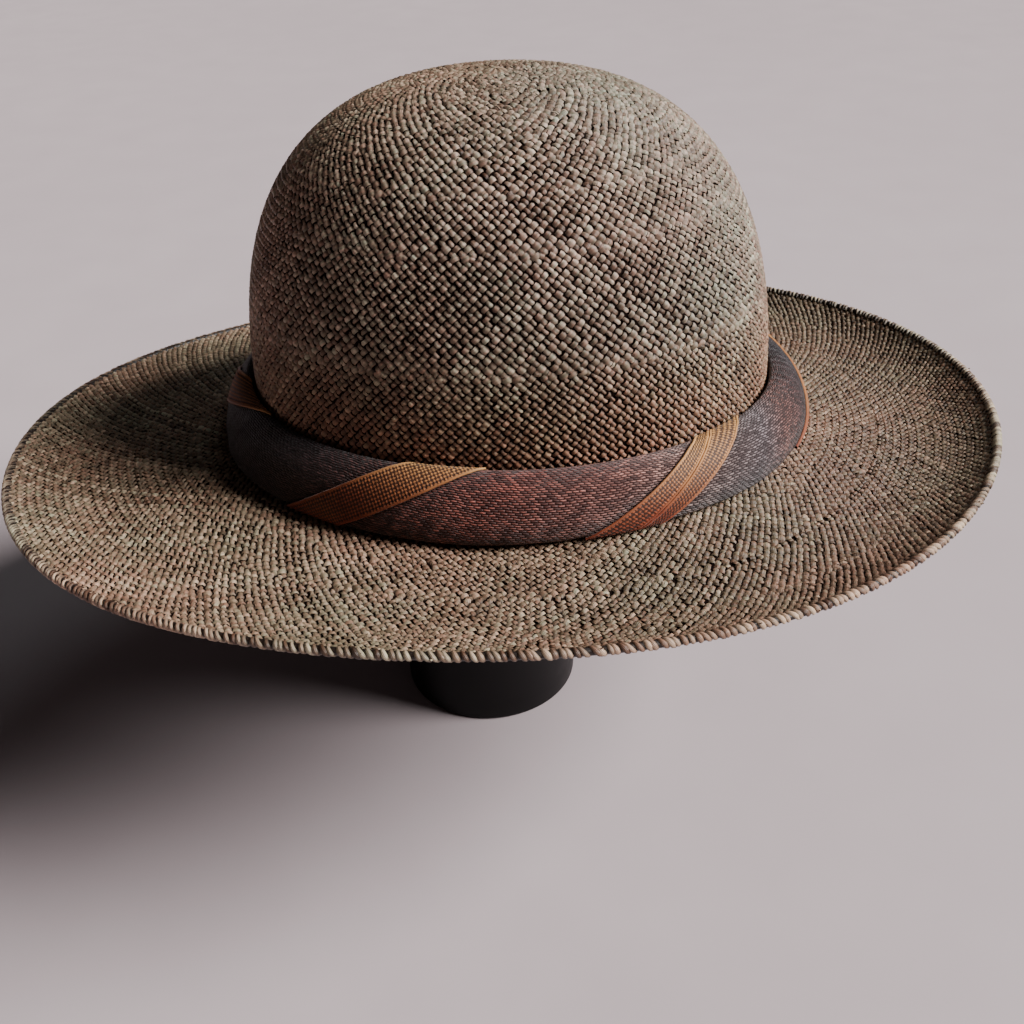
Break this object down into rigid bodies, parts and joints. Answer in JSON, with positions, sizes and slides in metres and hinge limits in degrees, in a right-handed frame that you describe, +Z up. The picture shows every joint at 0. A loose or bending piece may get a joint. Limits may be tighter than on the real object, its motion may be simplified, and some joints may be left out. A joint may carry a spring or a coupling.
{
  "type": "straw hat on a plain round stand",
  "caption": "Round-crowned woven straw hat with a wide curled brim and a twisted ribbon band with copper-brown strips, resting on a plain black round stand.",
  "frame": {"origin": "centre of the stand's flat foot, on the surface it stands on", "axes": "+Z up the stand, +X along the hat's length to the end where the brim curls up most, -Y to the side shown in front"},
  "size_m": [0.3878, 0.3334, 0.266],
  "materials": {
    "straw": "plain woven olive-brown straw, semi-matt",
    "ribbon": "finely woven dark ribbon with a soft sheen",
    "copper_strip": "basket-woven copper-brown strip, semi-matt",
    "stand_black": "satin black"
  },
  "bodies": {
    "root": {"woven_body": "straw", "band_roll": "ribbon", "band_strip_1": "copper_strip", "band_strip_2": "copper_strip", "band_strip_3": "copper_strip", "band_strip_4": "copper_strip", "band_strip_5": "copper_strip", "band_strip_6": "copper_strip", "band_strip_7": "copper_strip", "stand": "stand_black"}
  },
  "joints": []
}
